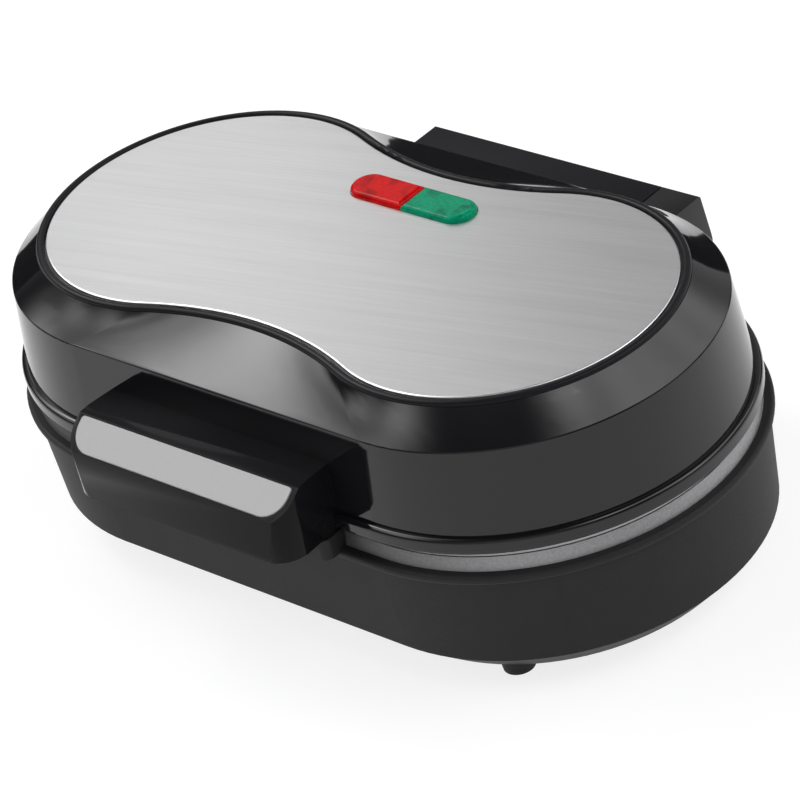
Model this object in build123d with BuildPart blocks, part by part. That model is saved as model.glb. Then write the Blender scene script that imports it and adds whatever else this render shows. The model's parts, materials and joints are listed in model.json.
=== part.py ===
from build123d import *
from math import asin, degrees, hypot
import os

os.makedirs("parts", exist_ok=True)

# Electric burger maker with two round cooking wells and a lid hinged at the back.
# Millimetres. The origin is on the table under the middle of the lid, +X is to the right
# of someone facing the handle, +Y points to the hinge and +Z is up.

# The wells set the plan: everything round them is measured outward from them
well_radius = 53.5
well_gap = 16.0  # between the two wells
well_draft = 3.0
lower_well_depth = 14.0
upper_well_depth = 8.0
well_corner = 3.0
plate_thickness = 3.0
plate_edge_in = 1.1  # the plates' edges stand back from the foot of the lid's wall
plate_edge_flare = 1.5  # the cast edge of the lower plate widens downwards

# Lid
skirt_out = 17.5  # from a well to the foot of the wall
wall_lean = 2.5  # the wall leans in this much up to the crease
slope_run = 13.7  # from the crease to the lobes of the steel
waist_in = 11.1  # the steel is this much narrower between the lobes
lip_out = 2.1  # rolled lip under the wall
lip_round = 1.6
lip_underside = 1.2
crease_round = 0.7
wall = 2.4  # moulded walls of the lid and the base
root_depth = 4.8  # how far in the forms of handle and hinge start, to be cut to the wall
skirt_rise = 5.4  # height of the rolled lip
wall_rise = 28.5
slope_rise = 9.1
steel_thickness = 1.1
steel_round = 0.6

# Bead round the steel
bead_gap = 0.6
bead_width = 2.6
bead_rise = 1.4
bead_round = 1.1
tongue_width = 1.4
tongue_depth = 1.2
slope_ledge = 0.2  # from the bead to the top of the slope

# Base
foot_height = 4.6
keel_rise = 8.8  # height of the bevel round the underside
hull_rise = 34.2  # from the bevel to where the lower plate rests
lower_flange = 4.2  # cast edge of the lower plate
parting_gap = 0.4  # between the closed plates
upper_flange = 2.4
hull_in = 0.4  # the hull stands back from the foot of the lid's wall
keel_bevel = 9.4
hull_flare = 2.1
rim_out = 1.9
rim_height = 3.0
rim_round = 1.2
ledge_width = 5.2
floor_thickness = 5.0
hatch_margin = 18.2  # floor left round the opening in it
hatch_lap = 3.5
hatch_thickness = 2.2
hatch_play = 0.3

# Long screws that hold each plate, with the posts that they go into
screw_radius = 2.0
screw_head_radius = 3.8
screw_head_height = 2.2
screw_play = 0.05
head_play = 0.4
head_sink = 0.2
recess_length = 6.0  # of the cross in each head
recess_width = 1.0
recess_depth = 1.1
boss_radius = 5.5
post_radius = 5.0
side_screw_out = 2.5  # from the edge of the wells
end_screw_out = 7.4
upper_boss_rise = 8.8  # from the back of a well
lower_boss_drop = 10.0
upper_screw_bite = 12.0
lower_screw_bite = 10.8

# Heating elements, one pressed into a groove in the back of each plate
heater_radius = 3.3
heater_play = 0.1
heater_stand = 1.6  # of its middle from the back of the wells
heater_in = 23.5  # from the edge of the wells
heater_gap = 20.0
pin_radius = 1.2
pin_length = 6.0

# Heat shields
shield_thickness = 0.8
shield_out = 9.5
lead_hole_radius = 9.0

# Indicator lens and its lamps
lens_length = 50.0
lens_width = 12.6
lens_from_waist = 14.5
lens_rise = 1.9  # above the steel
lens_play = 0.2
lens_round = 1.6
lens_flange = 1.6
lens_flange_height = 1.5
holder_height = 12.0
holder_wall = 1.6
lamp_radius = 2.6
lamp_length = 15.0
lamp_round = 1.5
holder_screw_out = 6.5  # beyond the ends of the lens
holder_foot_radius = 4.0
stalk_radius = 3.2  # posts under the lid's top that carry the holder

# Handle on the front of the lid
handle_root_half_width = 46.4
handle_half_width = 47.5
handle_reach = 24.2  # beyond the foot of the wall
handle_root_rise = 21.8
handle_climb = 0.7  # the top rises a little towards its shoulder
handle_front_lean = 1.6
handle_brow_run = 10.3
handle_shelf = 4.0
handle_brow_drop = 0.3
handle_nose_drop = 7.6
handle_corner = 9.5
trim_margin = 1.2
trim_depth = 0.8
trim_rise = 0.4
trim_round = 0.3
trim_play = 0.1

# Hinge
hinge_reach = 26.0  # beyond the foot of the wall
hinge_rise = 13.7  # above the pin
hinge_round = 0.8
hinge_half_width = 56.6
hinge_flare = 3.0  # the ends widen this much towards the bottom
pivot_rise = 8.2  # above the face of the lower plate
knuckle_radius = 11.0
knuckle_wrap = 45.0  # how far the round goes on past its lowest point, in degrees
pin_shaft_radius = 2.5
pin_play = 0.05
ear_x = 32.0
ear_width = 9.0
ear_radius = 9.0
ear_neck = 10.0
ear_side_play = 0.5
ear_round_play = 0.5
cap_margin = 4.5  # from the right ear to the seam of the cap
cap_seam = 0.6
spigot_radius = 3.5
spigot_length = 4.0
pin_tail = 9.5  # beyond the left ear
bracket_step = 0.6  # the bracket is this much narrower at each end
bracket_bottom_rise = 0.6
bracket_gap = 3.6  # under the knuckle
bracket_draft = 2.5
bracket_round = 1.0

# Short screws that hold the handle, the hinge block and the bracket from inside
wall_screw_radius = 1.75
wall_screw_head = 3.2
wall_screw_head_height = 2.0
wall_screw_length = 12.0
lid_screw_rise = 6.0
base_screw_rise = 16.6
handle_screw_x = 30.0
block_screw_x = 18.0
bracket_screw_x = 40.0

# Front tab under the handle
tab_half_width = 47.0
tab_reach = 4.9  # beyond the rim
tab_drop = 1.0  # under the lid
tab_hang = 1.0  # below the top of the rim
tab_corner = 3.0

# Feet and fittings in the base
foot_out = 24.4  # beyond the middle of a well
foot_margin = 11.4
foot_radius = 5.6
foot_taper = 0.5
peg_radius = 2.0
peg_length = 4.0
cover_screw_in = 2.0
small_screw_radius = 1.5
small_screw_head = 2.7
small_screw_head_height = 1.6
small_screw_length = 9.0
cover_boss_radius = 4.5
cover_boss_rise = 4.4
vent_length = 30.0
vent_width = 3.0
vent_pitch = 8.0
vent_count = 5
block_length = 26.0
block_width = 14.0
block_height = 12.0
block_corner = 1.6
block_step_width = 3.5
block_step_depth = 6.0
lead_radius = 1.2
thermostat_radius = 8.0
thermostat_height = 7.5
fuse_radius = 2.4
fuse_length = 22.0
clip_thickness = 0.8
clip_width = 8.0
clip_length = 19.0
cord_way_radius = 4.5
gland_radius = 7.0
gland_bore = 3.7
gland_depth = 10.0
gland_round = 0.8

# Plan that follows from the wells
lobe_x = well_radius + well_gap / 2
skirt_radius = well_radius + skirt_out
crease_radius = skirt_radius - wall_lean
lip_radius = skirt_radius + lip_out
steel_radius = crease_radius - slope_run
steel_waist = steel_radius - waist_in
plate_edge_radius = skirt_radius - plate_edge_in
hull_radius = skirt_radius - hull_in
keel_radius = hull_radius - keel_bevel
hull_top_radius = hull_radius + hull_flare
rim_radius = hull_top_radius + rim_out
ledge_radius = hull_top_radius - ledge_width
hatch_radius = keel_radius - hatch_margin
shield_radius = well_radius + shield_out
heater_bend = well_radius - heater_in
side_screw_y = well_radius + side_screw_out
end_screw_x = lobe_x + well_radius + end_screw_out
cover_screw_y = hatch_radius - cover_screw_in
foot_x = lobe_x + foot_out
foot_y = keel_radius - foot_margin
lens_y = steel_waist - lens_from_waist
holder_screw_x = lens_length / 2 + holder_screw_out
handle_front = skirt_radius + handle_reach
handle_nose_y = handle_front - handle_front_lean
handle_brow_y = handle_nose_y - handle_brow_run
handle_shoulder_y = handle_brow_y - handle_shelf
hinge_back = skirt_radius + hinge_reach
tab_front = rim_radius + tab_reach
tab_back = plate_edge_radius + plate_edge_flare
cap_seam_x = ear_x + ear_width / 2 + cap_margin
pin_left = -(ear_x + ear_width / 2 + pin_tail)
bracket_half_width = hinge_half_width - bracket_step

# Heights above the table
keel_height = foot_height + keel_rise
ledge_height = keel_height + hull_rise
parting_height = ledge_height + lower_flange
upper_face = parting_height + parting_gap
lip_bottom = upper_face + upper_flange
skirt_height = lip_bottom + skirt_rise
crease_height = skirt_height + wall_rise
deck_height = crease_height + slope_rise
upper_dry_side = upper_face + upper_well_depth + plate_thickness
lower_dry_side = parting_height - lower_well_depth - plate_thickness
upper_heater_height = upper_dry_side + heater_stand
lower_heater_height = lower_dry_side - heater_stand
upper_boss_top = upper_dry_side + upper_boss_rise
lower_boss_bottom = lower_dry_side - lower_boss_drop
upper_screw_end = upper_boss_top + upper_screw_bite
lower_screw_end = lower_boss_bottom - lower_screw_bite
pivot_height = parting_height + pivot_rise
hinge_top = pivot_height + hinge_rise
bracket_bottom = keel_height + bracket_bottom_rise
bracket_top = pivot_height - knuckle_radius - bracket_gap
lid_screw_z = skirt_height + lid_screw_rise
base_screw_z = keel_height + base_screw_rise
handle_root_top = lip_bottom + handle_root_rise
handle_top = handle_root_top + handle_climb
tab_top = lip_bottom - tab_drop
tab_bottom = ledge_height - tab_hang
cover_boss_top = foot_height + floor_thickness + cover_boss_rise

# Places that follow from both
bead_inner = bead_gap
bead_outer = bead_gap + bead_width
slope_offset = bead_outer + slope_ledge
deck_bottom = deck_height - wall
steel_top = deck_height + steel_thickness
pivot_y = hinge_back - knuckle_radius
holder_length = lens_length + 2 * lens_flange
holder_width = lens_width + 2 * lens_flange
holder_top = deck_bottom - lens_flange_height
holder_foot_bottom = holder_top - holder_height
holder_foot_top = holder_foot_bottom + holder_wall
cell_length = (holder_length - 3 * holder_wall) / 2
cell_x = (cell_length + holder_wall) / 2
holder_spots = [(holder_screw_x, lens_y), (-holder_screw_x, lens_y)]
cover_spots = [(x, y) for x in (lobe_x, -lobe_x) for y in (cover_screw_y, -cover_screw_y)]
foot_spots = {
    "front_left_foot": (-foot_x, -foot_y),
    "front_right_foot": (foot_x, -foot_y),
    "back_left_foot": (-foot_x, foot_y),
    "back_right_foot": (foot_x, foot_y),
}
screw_spots = [(0, side_screw_y), (0, -side_screw_y), (end_screw_x, 0), (-end_screw_x, 0)]


def stadium(half_spread, radius, corners=()):
    """Face with straight sides and round ends. The sides may have corners along them."""
    stops = [half_spread, *corners, *[-x for x in reversed(corners)], -half_spread]
    with BuildSketch() as shape:
        with BuildLine():
            CenterArc((half_spread, 0), radius, -90, 180)
            CenterArc((-half_spread, 0), radius, 90, 180)
            for side in (1, -1):
                for start, stop in zip(stops, stops[1:]):
                    Line((side * start, side * radius), (side * stop, side * radius))
        make_face()
    return shape.sketch


def hollow_radius(outward):
    """Radius of the hollow arc at the waist, once the outline has moved outward."""
    radius = steel_radius + outward
    waist = steel_waist + outward
    return (lobe_x**2 + waist**2 - radius**2) / (2 * (radius - waist))


def touch_place(outward):
    """Distance from the middle to where a round lobe runs into the hollow waist."""
    radius = steel_radius + outward
    return lobe_x * hollow_radius(outward) / (radius + hollow_radius(outward))


def lobed(outward):
    """Face of the steel top, moved outward: two round lobes joined by a hollow waist."""
    radius = steel_radius + outward
    waist = steel_waist + outward
    hollow = hollow_radius(outward)
    turn = degrees(asin(lobe_x / (radius + hollow)))
    with BuildSketch() as shape:
        with BuildLine():
            for facing in (0, 180):
                lobe = (lobe_x if facing == 0 else -lobe_x, 0)
                CenterArc(lobe, radius, facing - 90, 180)
                CenterArc(lobe, radius, facing + 90, turn)
                CenterArc(lobe, radius, facing - 90, -turn)
                middle = (0, waist + hollow) if facing == 0 else (0, -waist - hollow)
                CenterArc(middle, hollow, facing - 90 - turn, 2 * turn)
        make_face()
    return shape.sketch


def between(low_face, low, high_face, high):
    """Solid with straight sides from one level face to another."""
    with BuildPart() as body:
        with BuildSketch(Plane.XY.offset(low)):
            add(low_face)
        with BuildSketch(Plane.XY.offset(high)):
            add(high_face)
        loft(ruled=True)
    return body.part


def slab(face, low, high):
    """Upright solid from one height to another."""
    with BuildPart() as body:
        with BuildSketch(Plane.XY.offset(low)):
            add(face)
        extrude(amount=high - low)
    return body.part


def rods(spots, radius, low, high):
    """Upright round bars at the given places."""
    with BuildPart() as body:
        with BuildSketch(Plane.XY.offset(low)):
            with Locations(*spots):
                Circle(radius)
        extrude(amount=high - low)
    return body.part


def cross_bar(x_start, x_end, radius):
    """Round bar along the hinge axis."""
    with BuildPart() as body:
        with BuildSketch(Plane.YZ.offset(x_start)):
            with Locations((pivot_y, pivot_height)):
                Circle(radius)
        extrude(amount=x_end - x_start)
    return body.part


def save(piece, name):
    """Name a finished piece and write it."""
    piece.label = name
    export_step(piece, "parts/" + name + ".step")


def wall_bars(facing, x_place, height, radius, start, stop):
    """Pair of level bars, facing the front (1) or the back (-1), between two distances."""
    with BuildPart() as bars:
        with BuildSketch(Plane.XZ.offset(facing * start)):
            with Locations((x_place, height), (-x_place, height)):
                Circle(radius)
        extrude(amount=facing * (stop - start))
    return bars.part


def wall_screw_pair(facing, x_place, height, seat):
    """Pair of screws whose heads sit against the inside of a wall."""
    with BuildPart() as screws:
        add(
            wall_bars(
                facing, x_place, height, wall_screw_radius, seat, seat + wall_screw_length
            )
        )
        add(
            wall_bars(
                facing, x_place, height, wall_screw_head, seat - wall_screw_head_height, seat
            )
        )
    return screws.part


def wall_screw_bores(facing, x_place, height, seat):
    """Holes for such a pair, a little deeper than the screws."""
    bore = wall_screw_radius + screw_play
    return wall_bars(facing, x_place, height, bore, seat - wall, seat + wall_screw_length + head_sink)


# Where the heads of the wall screws rest, on walls that lean a little
lid_lean = (skirt_radius - crease_radius) / (crease_height - wall - lip_bottom)
lid_seat = skirt_radius - wall - lid_lean * (lid_screw_z + wall_screw_head - lip_bottom)
base_lean = (hull_top_radius - hull_radius) / (ledge_height - rim_height - wall / 2 - keel_height)
base_seat = hull_radius - wall + base_lean * (base_screw_z - wall_screw_head - keel_height)
handle_screw_holes = wall_screw_bores(1, handle_screw_x, lid_screw_z, lid_seat)
block_screw_holes = wall_screw_bores(-1, block_screw_x, lid_screw_z, lid_seat)
bracket_screw_holes = wall_screw_bores(-1, bracket_screw_x, base_screw_z, base_seat)

save(wall_screw_pair(1, handle_screw_x, lid_screw_z, lid_seat), "handle_screws")
save(wall_screw_pair(-1, block_screw_x, lid_screw_z, lid_seat), "hinge_block_screws")
save(wall_screw_pair(-1, bracket_screw_x, base_screw_z, base_seat), "bracket_screws")

# Outer form of the lid, without its hollow
with BuildPart() as lip_form:
    with BuildSketch(Plane.XY.offset(lip_bottom)):
        add(stadium(lobe_x, lip_radius))
    extrude(amount=skirt_rise)
    fillet(lip_form.edges().group_by(Axis.Z)[-1], radius=lip_round)
    fillet(lip_form.edges().group_by(Axis.Z)[0], radius=lip_underside)

touch_corners = [touch_place(slope_offset)]
crease = stadium(lobe_x, crease_radius, touch_corners)
with BuildPart() as lid_form:
    add(between(stadium(lobe_x, skirt_radius, touch_corners), skirt_height, crease, crease_height))
    add(between(crease, crease_height, lobed(slope_offset), deck_height))
    fillet(
        lid_form.edges().filter_by_position(Axis.Z, crease_height, crease_height),
        radius=crease_round,
    )
    add(lip_form.part)

# Lid shell
with BuildPart() as lid_hollow:
    add(
        between(
            stadium(lobe_x, skirt_radius - wall),
            lip_bottom,
            stadium(lobe_x, crease_radius - wall),
            crease_height - wall,
        )
    )
    add(
        between(
            stadium(lobe_x, crease_radius - wall, [touch_place(slope_offset - wall)]),
            crease_height - wall,
            lobed(slope_offset - wall),
            deck_bottom,
        )
    )
    add(
        rods(screw_spots, post_radius, upper_boss_top + shield_thickness, deck_height),
        mode=Mode.SUBTRACT,
    )
    add(rods(holder_spots, stalk_radius, holder_foot_top, deck_height), mode=Mode.SUBTRACT)

with BuildPart() as lid_shell:
    add(lid_form.part)
    add(lid_hollow.part, mode=Mode.SUBTRACT)
    # groove for the tongue of the bead
    with BuildSketch(Plane.XY.offset(deck_height)):
        add(lobed(bead_inner + (bead_width + tongue_width) / 2 + trim_play))
        add(lobed(bead_inner + (bead_width - tongue_width) / 2 - trim_play), mode=Mode.SUBTRACT)
    extrude(amount=-tongue_depth - trim_play, mode=Mode.SUBTRACT)
    # window for the lens
    with BuildSketch(Plane.XY.offset(deck_bottom)):
        with Locations((0, lens_y)):
            SlotOverall(lens_length + 2 * lens_play, lens_width + 2 * lens_play)
    extrude(amount=wall, mode=Mode.SUBTRACT)
    # holes for the long screws
    add(
        rods(
            screw_spots,
            screw_radius + screw_play,
            upper_boss_top,
            upper_screw_end + screw_head_height,
        ),
        mode=Mode.SUBTRACT,
    )
    add(
        rods(
            holder_spots,
            small_screw_radius + screw_play,
            holder_foot_top,
            holder_foot_bottom + small_screw_length + head_sink,
        ),
        mode=Mode.SUBTRACT,
    )
    # holes for the handle and hinge screws
    add(handle_screw_holes, mode=Mode.SUBTRACT)
    add(block_screw_holes, mode=Mode.SUBTRACT)

save(lid_shell.part, "lid_shell")

# Bead round the steel, with a tongue that drops into the lid
with BuildPart() as bead_ring:
    with BuildSketch(Plane.XY.offset(deck_height)):
        add(lobed(bead_outer))
        add(lobed(bead_inner), mode=Mode.SUBTRACT)
    extrude(amount=bead_rise)
    fillet(bead_ring.edges().group_by(Axis.Z)[-1], radius=bead_round)
    with BuildSketch(Plane.XY.offset(deck_height)):
        add(lobed(bead_inner + (bead_width + tongue_width) / 2))
        add(lobed(bead_inner + (bead_width - tongue_width) / 2), mode=Mode.SUBTRACT)
    extrude(amount=-tongue_depth)

save(bead_ring.part, "bead_ring")

# Brushed steel top
with BuildPart() as top_plate:
    add(slab(lobed(0), deck_height, steel_top))
    fillet(top_plate.edges().group_by(Axis.Z)[-1], radius=steel_round)
    with BuildSketch(Plane.XY.offset(deck_height)):
        with Locations((0, lens_y)):
            SlotOverall(lens_length + 2 * lens_play, lens_width + 2 * lens_play)
    extrude(amount=2 * steel_thickness, mode=Mode.SUBTRACT)

save(top_plate.part, "top_plate")


def lens_half(side):
    """Half of the capsule lens, with the flange that keeps it under the lid."""
    middle = side * (lens_length / 4 + lens_play / 4)
    with BuildPart() as lens:
        with BuildSketch(Plane.XY.offset(deck_bottom)):
            with Locations((0, lens_y)):
                SlotOverall(lens_length, lens_width)
            with Locations((middle, lens_y)):
                Rectangle(lens_length / 2 - lens_play / 2, lens_width, mode=Mode.INTERSECT)
        extrude(amount=steel_top + lens_rise - deck_bottom)
        fillet(lens.edges().group_by(Axis.Z)[-1], radius=lens_round)
        with BuildSketch(Plane.XY.offset(deck_bottom)):
            with Locations((0, lens_y)):
                SlotOverall(lens_length + 2 * lens_flange, lens_width + 2 * lens_flange)
            with Locations((middle + side * lens_flange / 2, lens_y)):
                Rectangle(
                    lens_length / 2 - lens_play / 2 + lens_flange,
                    lens_width + 2 * lens_flange,
                    mode=Mode.INTERSECT,
                )
        extrude(amount=-lens_flange_height)
    return lens.part


save(lens_half(-1), "lens_red")
save(lens_half(1), "lens_green")

# Lamp holder: a box of two cells under the lens, with a foot at each end
with BuildPart() as lamp_holder:
    with BuildSketch(Plane.XY.offset(holder_foot_bottom)):
        with Locations((0, lens_y)):
            Rectangle(holder_length, holder_width)
    extrude(amount=holder_height)
    with BuildSketch(Plane.XY.offset(holder_top)):
        with Locations((cell_x, lens_y), (-cell_x, lens_y)):
            Rectangle(cell_length, holder_width - 2 * holder_wall)
    extrude(amount=-(holder_height - holder_wall), mode=Mode.SUBTRACT)
    with BuildSketch(Plane.XY.offset(holder_foot_bottom)):
        with Locations((0, lens_y)):
            SlotCenterToCenter(2 * holder_screw_x, 2 * holder_foot_radius)
        with Locations((0, lens_y)):
            Rectangle(holder_length - holder_wall, holder_width, mode=Mode.SUBTRACT)
    extrude(amount=holder_wall)
    add(
        rods(
            holder_spots,
            small_screw_radius + screw_play,
            holder_foot_bottom,
            holder_foot_top,
        ),
        mode=Mode.SUBTRACT,
    )

save(lamp_holder.part, "lamp_holder")

with BuildPart() as holder_screws:
    add(
        rods(
            holder_spots,
            small_screw_head,
            holder_foot_bottom - small_screw_head_height,
            holder_foot_bottom,
        )
    )
    add(
        rods(
            holder_spots,
            small_screw_radius,
            holder_foot_bottom,
            holder_foot_bottom + small_screw_length,
        )
    )

save(holder_screws.part, "holder_screws")


def glow_lamp(side):
    """Small lamp lying in one cell of the holder."""
    with BuildPart() as lamp:
        with BuildSketch(Plane.YZ.offset(side * cell_x - lamp_length / 2)):
            with Locations((lens_y, holder_foot_top + lamp_radius)):
                Circle(lamp_radius)
        extrude(amount=lamp_length)
        fillet(lamp.edges().filter_by(GeomType.CIRCLE), radius=lamp_round)
    return lamp.part


save(glow_lamp(-1), "red_lamp")
save(glow_lamp(1), "green_lamp")

# Handle: a level top, a sloped brow that carries the light strip, and a steep front
handle_root = crease_radius - root_depth
brow_z = handle_top - handle_brow_drop
nose_z = handle_top - handle_nose_drop
with BuildPart() as handle_block:
    with BuildSketch(Plane.YZ):
        with BuildLine():
            Polyline(
                (-handle_root, handle_root_top),
                (-handle_shoulder_y, handle_top),
                (-handle_brow_y, brow_z),
                (-handle_nose_y, nose_z),
                (-handle_front, lip_bottom),
                (-handle_root, lip_bottom),
                close=True,
            )
        make_face()
    extrude(amount=handle_half_width, both=True)
    with BuildSketch(Plane.XY.offset(lip_bottom)) as handle_plan:
        with BuildLine():
            Polyline(
                (handle_root_half_width, -handle_root),
                (handle_half_width, -handle_front),
                (-handle_half_width, -handle_front),
                (-handle_root_half_width, -handle_root),
                close=True,
            )
        make_face()
        fillet(handle_plan.vertices().group_by(Axis.Y)[0], radius=handle_corner)
    extrude(amount=handle_top, mode=Mode.INTERSECT)

brow_length = hypot(handle_nose_y - handle_brow_y, brow_z - nose_z)
brow_tilt = (0, -(brow_z - nose_z), handle_nose_y - handle_brow_y)
brow_plane = Plane(origin=(0, -handle_brow_y, brow_z), x_dir=(1, 0, 0), z_dir=brow_tilt)
out_of_brow = Axis((0, 0, 0), brow_tilt)


def trim_outline(play):
    """Strip on the brow, with its two front corners rounded."""
    with BuildSketch() as shape:
        with Locations((0, -brow_length / 2)):
            Rectangle(2 * (handle_half_width - 2 * trim_margin + play), brow_length - trim_margin + 2 * play)
        fillet(shape.vertices().group_by(Axis.Y)[0], radius=handle_corner - trim_margin)
        fillet(shape.vertices().group_by(Axis.Y)[-1], radius=trim_margin)
    return shape.sketch


with BuildPart() as trim_pocket:
    with BuildSketch(brow_plane):
        add(trim_outline(trim_play))
    extrude(amount=handle_corner)
    extrude(trim_pocket.faces().sort_by(out_of_brow)[0], amount=trim_depth)

with BuildPart() as handle:
    add(handle_block.part)
    add(trim_pocket.part, mode=Mode.SUBTRACT)
    add(lid_form.part, mode=Mode.SUBTRACT)
    add(handle_screw_holes, mode=Mode.SUBTRACT)

save(handle.part, "handle")

with BuildPart() as handle_trim:
    with BuildSketch(brow_plane.offset(-trim_depth)):
        add(trim_outline(0))
    extrude(amount=trim_depth + trim_rise)
    fillet(handle_trim.edges().group_by(out_of_brow)[-1], radius=trim_round)

save(handle_trim.part, "handle_trim")

# Hinge block on the back of the lid, its end cap, and the pin
hinge_root = crease_radius - root_depth
arc_low = pivot_height - knuckle_radius
with BuildPart() as block_form:
    with BuildSketch(Plane.YZ):
        with BuildLine():
            Line((hinge_root, hinge_top), (hinge_back, hinge_top))
            Line((hinge_back, hinge_top), (hinge_back, pivot_height))
            knuckle = CenterArc(
                (pivot_y, pivot_height), knuckle_radius, 0, -90 - knuckle_wrap
            )
            Polyline(
                knuckle @ 1,
                (lip_radius, lip_bottom),
                (hinge_root, lip_bottom),
                (hinge_root, hinge_top),
            )
        make_face()
    extrude(amount=hinge_half_width + hinge_flare, both=True)
    with BuildSketch(Plane.XZ):
        with BuildLine():
            Polyline(
                (-hinge_half_width, hinge_top),
                (hinge_half_width, hinge_top),
                (hinge_half_width + hinge_flare, arc_low),
                (-hinge_half_width - hinge_flare, arc_low),
                close=True,
            )
        make_face()
    extrude(amount=-2 * hinge_back, mode=Mode.INTERSECT)
    fillet(
        block_form.edges().filter_by(Axis.X).sort_by(Axis.Z)[-2:].sort_by(Axis.Y)[-1:],
        radius=hinge_round,
    )

with BuildPart() as ear_slots:
    for side in (-1, 1):
        slot_width = ear_width + 2 * ear_side_play
        with BuildSketch(Plane.YZ.offset(side * ear_x - slot_width / 2)):
            with Locations((pivot_y, pivot_height)):
                Circle(ear_radius + ear_round_play)
            with BuildLine():
                Polyline(
                    (pivot_y - ear_neck / 2 - ear_round_play, pivot_height),
                    (pivot_y, pivot_height + ear_radius + ear_round_play),
                    (hinge_back + wall, pivot_height + ear_radius + ear_round_play),
                    (hinge_back + wall, arc_low - wall),
                    (pivot_y - ear_neck / 2 - ear_round_play, arc_low - wall),
                    close=True,
                )
            make_face()
        extrude(amount=slot_width)

with BuildPart() as hinge_block:
    add(block_form.part)
    add(lid_form.part, mode=Mode.SUBTRACT)
    with BuildSketch(Plane.YZ.offset(cap_seam_x)):
        Rectangle(4 * hinge_back, 4 * hinge_back)
    extrude(amount=2 * hinge_half_width, mode=Mode.SUBTRACT)
    add(ear_slots.part, mode=Mode.SUBTRACT)
    add(cross_bar(pin_left, cap_seam_x, pin_shaft_radius + pin_play), mode=Mode.SUBTRACT)
    add(
        cross_bar(cap_seam_x - spigot_length, cap_seam_x, spigot_radius + pin_play),
        mode=Mode.SUBTRACT,
    )
    add(block_screw_holes, mode=Mode.SUBTRACT)

save(hinge_block.part, "hinge_block")

with BuildPart() as hinge_cap:
    add(block_form.part)
    add(lid_form.part, mode=Mode.SUBTRACT)
    with BuildSketch(Plane.YZ.offset(cap_seam_x + cap_seam)):
        Rectangle(4 * hinge_back, 4 * hinge_back)
    extrude(amount=-4 * hinge_half_width, mode=Mode.SUBTRACT)
    add(cross_bar(cap_seam_x + cap_seam - spigot_length, cap_seam_x + cap_seam, spigot_radius))

save(hinge_cap.part, "hinge_cap")

pin_right = cap_seam_x + cap_seam - spigot_length - ear_side_play
save(cross_bar(pin_left, pin_right, pin_shaft_radius), "hinge_pin")


def screw_set(head_face, direction, tip):
    """Long screws whose heads start a little below a plate's cooking face."""
    head_start = head_face + direction * head_sink
    head_end = head_start + direction * screw_head_height
    with BuildPart() as screws:
        add(rods(screw_spots, screw_head_radius, min(head_start, head_end), max(head_start, head_end)))
        add(rods(screw_spots, screw_radius, min(head_end, tip), max(head_end, tip)))
        with BuildSketch(Plane.XY.offset(head_start)):
            with Locations(*screw_spots):
                Rectangle(recess_length, recess_width)
                Rectangle(recess_width, recess_length)
        extrude(amount=direction * recess_depth, mode=Mode.SUBTRACT)
    return screws.part


save(screw_set(upper_face, 1, upper_screw_end), "upper_screws")
save(screw_set(parting_height, -1, lower_screw_end), "lower_screws")


def heater_path(height, radius):
    """Tube bent round both wells, with its ends facing each other at the back."""
    with BuildLine(Plane.XY.offset(height)) as path:
        right_straight = Line((heater_gap / 2, radius), (lobe_x, radius))
        right_bend = ThreePointArc(right_straight @ 1, (lobe_x + radius, 0), (lobe_x, -radius))
        front_straight = Line(right_bend @ 1, (-lobe_x, -radius))
        left_bend = ThreePointArc(front_straight @ 1, (-lobe_x - radius, 0), (-lobe_x, radius))
        Line(left_bend @ 1, (-heater_gap / 2, radius))
    return path.line


def heater_tube(height, tube_radius, extend=0.0):
    """Sheathed tube swept along its path."""
    with BuildPart() as tube:
        with BuildLine():
            add(heater_path(height, heater_bend))
        with BuildSketch(Plane(origin=(heater_gap / 2, heater_bend, height), z_dir=(1, 0, 0))):
            Circle(tube_radius)
        sweep()
        if extend > 0:
            for side in (-1, 1):
                face_x = side * heater_gap / 2
                with BuildSketch(Plane(origin=(face_x, heater_bend, height), z_dir=(-side, 0, 0))):
                    Circle(pin_radius)
                extrude(amount=extend)
    return tube.part


def plate(face_height, direction, flange, depth, boss_end, edge_at_face, edge_at_back):
    """Cast cooking plate. direction is the way its wells go: up in the lid, down in the base."""
    back = face_height + direction * flange
    well_floor = face_height + direction * depth
    dry_side = well_floor + direction * plate_thickness
    centres = [(lobe_x, 0), (-lobe_x, 0)]
    low, high = sorted((face_height, back))
    faces = {face_height: stadium(lobe_x, edge_at_face), back: stadium(lobe_x, edge_at_back)}
    with BuildPart() as wells:
        for centre in centres:
            with BuildSketch(Plane.XY.offset(face_height)):
                with Locations(centre):
                    Circle(well_radius)
            with BuildSketch(Plane.XY.offset(well_floor)):
                with Locations(centre):
                    Circle(well_radius - well_draft)
            loft(ruled=True)
        floor_edges = wells.edges().group_by(Axis.Z)[-1 if direction > 0 else 0]
        fillet(floor_edges, radius=well_corner)
    with BuildPart() as cast:
        add(between(faces[low], low, faces[high], high))
        add(rods(centres, well_radius + plate_thickness, *sorted((back, dry_side))))
        add(rods(screw_spots, boss_radius, *sorted((back, boss_end))))
        add(wells.part, mode=Mode.SUBTRACT)
        groove_height = dry_side + direction * heater_stand
        add(heater_tube(groove_height, heater_radius + heater_play), mode=Mode.SUBTRACT)
        add(
            rods(screw_spots, screw_radius + screw_play, *sorted((face_height, boss_end))),
            mode=Mode.SUBTRACT,
        )
        add(
            rods(
                screw_spots,
                screw_head_radius + head_play,
                *sorted((face_height, face_height + direction * (head_sink + screw_head_height))),
            ),
            mode=Mode.SUBTRACT,
        )
    return cast.part


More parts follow.
